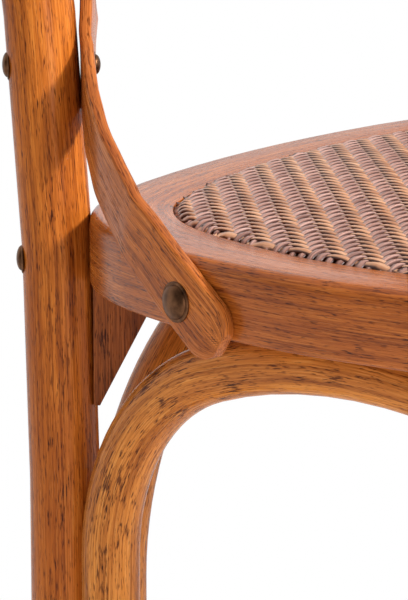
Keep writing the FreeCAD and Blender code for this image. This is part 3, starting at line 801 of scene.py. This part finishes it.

# The layer of painted shade is a closed cushion just inside the strands' ends, with a crown of a few rings.
ground_in = 0.006
ground_low = ledge_top + 0.0085
ground = bmesh.new()
top = ground.faces.new([ground.verts.new(p + (panel_mid - p) * ground_in) for p in ring[:-1]])
under_rim = bmesh.ops.extrude_face_region(ground, geom=[top])["geom"]
under_rim = [g for g in under_rim if isinstance(g, bmesh.types.BMVert)]
bmesh.ops.translate(ground, vec=Z * ground_low, verts=under_rim)
for shrink in (0.96, 0.80, 0.74, 0.60, 0.30):
    bmesh.ops.inset_individual(ground, faces=[top], thickness=0.0)
    for v in top.verts:
        v.co = panel_mid.lerp(v.co, shrink)
bmesh.ops.poke(ground, faces=[top])
for v in set(ground.verts) - set(under_rim):
    v.co.z = panel_height(v.co) - ground_sink
keep_grain(ground)
piece("rattan_ground", ground, painted_shade_under, ["woven_seat"], 60)

# Studs and bolts.
# Domed steel heads in dark antique bronze, with lighter rubbed clouds here and there, on the bolts that hold
# the straps and the seat frame, and on the nails through the lower ends of the straps.

bolt_head = 0.0075
bolt_end = 0.0063
stud_head = 0.0092
bolt_dome = 0.0026
stud_dome = 0.0030
sink_in = 0.0006


def bronze(name, code):
    """Bronzed or blackened steel: dark and rather dull, with lighter clouds, about 4 mm wide, where the
    finish is rubbed."""
    mat, tree = new_material(name)
    place = add(tree, "ShaderNodeTexCoord").outputs["Object"]
    cloud = add(tree, "ShaderNodeTexNoise", {"Vector": place, "Scale": 260.0, "Detail": 4.0}).outputs["Fac"]
    colour = add(tree, "ShaderNodeValToRGB", {"Fac": cloud}, ((0.3, "4a3020"), (0.7, code)))
    rough = add(tree, "ShaderNodeMapRange", {"Value": cloud, "To Min": 0.34, "To Max": 0.52})
    shader = add(tree, "ShaderNodeBsdfPrincipled", {
        "Base Color": colour.outputs["Color"], "Roughness": rough.outputs[0], "Metallic": 1.0})
    add(tree, "ShaderNodeOutputMaterial", {"Surface": shader.outputs[0]})
    return mat


def head(bm, seat, outward, radius, dome):
    """A domed head with a thin rolled rim, its underside on its seat."""
    rim_high = 0.0009
    rim_wide = 0.0014
    inner = radius - rim_wide
    profile = [(radius, 0), (radius, rim_high * 0.55), (radius - rim_high * 0.45, rim_high)]
    profile.append((inner, rim_high * 1.05))
    for part in range(1, 9):
        a = math.radians(90 * part / 8)
        profile.append((inner * math.cos(a), rim_high * 1.05 + dome * math.sin(a)))
    place = Matrix.Translation(seat) @ outward.to_track_quat("Z", "Y").to_matrix().to_4x4()
    line = [bm.verts.new((r, 0, z)) for r, z in profile]
    edges = [bm.edges.new(two) for two in zip(line, line[1:])]
    before = set(bm.verts) - set(line)
    bmesh.ops.spin(
        bm, geom=line + edges, cent=(0, 0, 0), axis=(0, 0, 1), angle=2 * math.pi, steps=36, use_merge=True)
    bmesh.ops.transform(bm, matrix=place, verts=[v for v in bm.verts if v not in before])


def heads(name, node, spots, dome, finish):
    """Domed heads as one piece.  A spot is a seat, its outward direction and the radius of its head."""
    bm = bmesh.new()
    for seat, outward, radius in spots:
        head(bm, seat, outward, radius, dome)
    bmesh.ops.remove_doubles(bm, verts=bm.verts, dist=1e-6)
    close(bm)
    piece(name, bm, finish, [node])


def both_sides(spots):
    """The same spots on the left and, mirrored, on the right."""
    return spots + [(mirrored(seat), mirrored(outward), radius) for seat, outward, radius in spots]


seat_bolt_z = seat_top - 0.025
seat_bolt = leg_line + Z * seat_bolt_z + Y * lean_at(seat_bolt_z)[0] - across * (rod_r - sink_in)
stud_spot, stud_out = outline_point(253.9)
stud_seat = stud_spot + stud_out * (strap_thick + touch_gap) + Z * (seat_top - 0.020)
cross_reach = cross_front * (strap_thick + touch_gap)

# The bolts and studs: dark antique bronze, with lighter clouds from one head to the next.
dark_bronze = bronze("antique bronzed steel", "80583c")
heads("heads_strap_bolts", "strap_bolts", both_sides([
    (bolt_axis - across * (rod_r - sink_in), -across, bolt_head),
    (bolt_strap + across * strap_half, across, bolt_end)]), bolt_dome, dark_bronze)
heads("heads_seat_bolts", "seat_bolts", both_sides([(seat_bolt, -across, bolt_head)]), bolt_dome, dark_bronze)
heads("studs_strap_ends", "strap_end_studs", both_sides([
    (stud_seat, stud_out, stud_head)]), stud_dome, dark_bronze)
heads("heads_top_bolts", "strap_top_bolts", both_sides([
    (top_axis - hoop_front * (rod_r - sink_in), -hoop_front, bolt_end),
    (top_strap + hoop_front * strap_half, hoop_front, bolt_end)]), bolt_dome, dark_bronze)
heads("heads_cross_bolt", "strap_top_bolts", [
    (cross_middle + cross_reach, cross_front, bolt_end),
    (cross_middle - cross_reach, -cross_front, bolt_end)], bolt_dome, dark_bronze)

# Screws and glides.
# Plain steel screws out of sight under the arches and the seat, those in the arches' crowns sunk almost
# flush, and moulded nylon pads under the feet.

crown_head = 0.0042
crown_dome = 0.0014
crown_sunk = 0.0021

# Blackened screws are greyer than the bronzed bolts, and as dull.
screw_steel = bronze("blackened steel screw", "6a5a50")
crown_spots = [(seat + Z * crown_sunk, -Z, crown_head) for seat in crown_seats]
heads("heads_crown_screws", "arch_crown_screws", crown_spots, crown_dome, screw_steel)
dress("arch_leg_screws", screw_steel)
dress("board_screws", screw_steel)

# Moulded nylon is even and half matt, with a faint cloud in its dark brown.
nylon, tree = new_material("moulded nylon, dark brown")
place = add(tree, "ShaderNodeTexCoord").outputs["Object"]
speck = add(tree, "ShaderNodeTexNoise", {"Vector": place, "Scale": 900.0, "Detail": 2.0}).outputs["Fac"]
colour = add(tree, "ShaderNodeValToRGB", {"Fac": speck}, ((0.3, "33261f"), (0.7, "43332a"))).outputs["Color"]
shader = add(tree, "ShaderNodeBsdfPrincipled", {"Base Color": colour, "Roughness": 0.5, "IOR": 1.53})
add(tree, "ShaderNodeOutputMaterial", {"Surface": shader.outputs[0]})
dress("foot_glides", nylon)

# Floor, light and camera.
# A pale floor that holds the chair's shadow and fades to white, a key light from the front right, a weak
# fill from the front left, and a camera close to the left back corner of the seat.

camera_turn = -55
view_way = heading(90 + camera_turn)
seat_corner = Vector((leg_x, 0.20, 0.50))


def seen_straight(tree):
    """One where the camera, a mirror or glass looks, so that white reads as white there."""
    seen = add(tree, "ShaderNodeLightPath").outputs
    mirror = add(
        tree, "ShaderNodeMath", {0: seen["Is Camera Ray"], 1: seen["Is Glossy Ray"]}, operation="MAXIMUM")
    return add(
        tree, "ShaderNodeMath", {0: mirror.outputs[0], 1: seen["Is Transmission Ray"]},
        operation="MAXIMUM").outputs[0]


# White paper: matt near the feet, where it takes the shadow, and fading to plain white further out.
paper, tree = new_material("white paper floor")
place = add(tree, "ShaderNodeTexCoord").outputs["Object"]
far = add(tree, "ShaderNodeVectorMath", {0: place}, operation="LENGTH").outputs["Value"]
fade = add(
    tree, "ShaderNodeMapRange", {"Value": far, "From Min": 0.40, "From Max": 0.72},
    interpolation_type="SMOOTHSTEP")
share = add(tree, "ShaderNodeMath", {0: seen_straight(tree), 1: fade.outputs[0]}, operation="MULTIPLY")
matt = add(tree, "ShaderNodeBsdfDiffuse", {"Color": linear("f2f1ef")})
white = add(tree, "ShaderNodeEmission", {"Color": (1, 1, 1, 1), "Strength": 1.0})
both = add(tree, "ShaderNodeMixShader", {0: share.outputs[0], 1: matt.outputs[0], 2: white.outputs[0]})
add(tree, "ShaderNodeOutputMaterial", {"Surface": both.outputs[0]})
floor_mesh = bmesh.new()
bmesh.ops.create_grid(floor_mesh, x_segments=8, y_segments=8, size=4.0)
floor = piece("floor", floor_mesh, paper)

# The room as the camera and the lacquer see it is white ahead of the camera and dim behind it.  For all
# other rays it is an even, soft light.
world = bpy.data.worlds.new("studio")
world.use_nodes = True
bpy.context.scene.world = world
tree = world.node_tree
tree.nodes.clear()
way = add(tree, "ShaderNodeTexCoord").outputs["Generated"]
facing_it = add(tree, "ShaderNodeVectorMath", {0: way, 1: view_way}, operation="DOT_PRODUCT").outputs["Value"]
sheet = add(tree, "ShaderNodeMapRange", {
    "Value": facing_it, "From Min": -0.3, "From Max": 0.3, "To Min": 0.25, "To Max": 1.0})
dim = add(tree, "ShaderNodeBackground", {"Color": (1, 1, 1, 1), "Strength": 0.57})
bright = add(tree, "ShaderNodeBackground", {"Color": (1, 1, 1, 1), "Strength": sheet.outputs[0]})
both = add(tree, "ShaderNodeMixShader", {0: seen_straight(tree), 1: dim.outputs[0], 2: bright.outputs[0]})
add(tree, "ShaderNodeOutputWorld", {"Surface": both.outputs[0]})


def lamp(name, place, aim, size, power):
    """A square area lamp at a place, aimed at a point."""
    light = bpy.data.lights.new(name, "AREA")
    light.size = size
    light.energy = power
    made = bpy.data.objects.new(name, light)
    made.location = place
    made.rotation_euler = (aim - Vector(place)).to_track_quat("-Z", "Y").to_euler()
    bpy.context.scene.collection.objects.link(made)


lamp("key", (0.156, -2.007, 1.826), seat_corner, 0.36, 74)
lamp("fill", (-1.285, -2.16, 0.72), seat_corner - Z * 0.05, 1.0, 11)

lens = bpy.data.cameras.new("camera")
lens.sensor_fit = "VERTICAL"
lens.sensor_height = 36.0
lens.lens = 196.8
lens.clip_start = 0.05
camera = bpy.data.objects.new("camera", lens)
camera.location = (-1.40267, -0.76366, 0.74712)
camera.rotation_euler = (math.radians(77.7), 0, math.radians(camera_turn))
bpy.context.scene.collection.objects.link(camera)
bpy.context.scene.camera = camera
bpy.context.scene.view_settings.view_transform = "Standard"
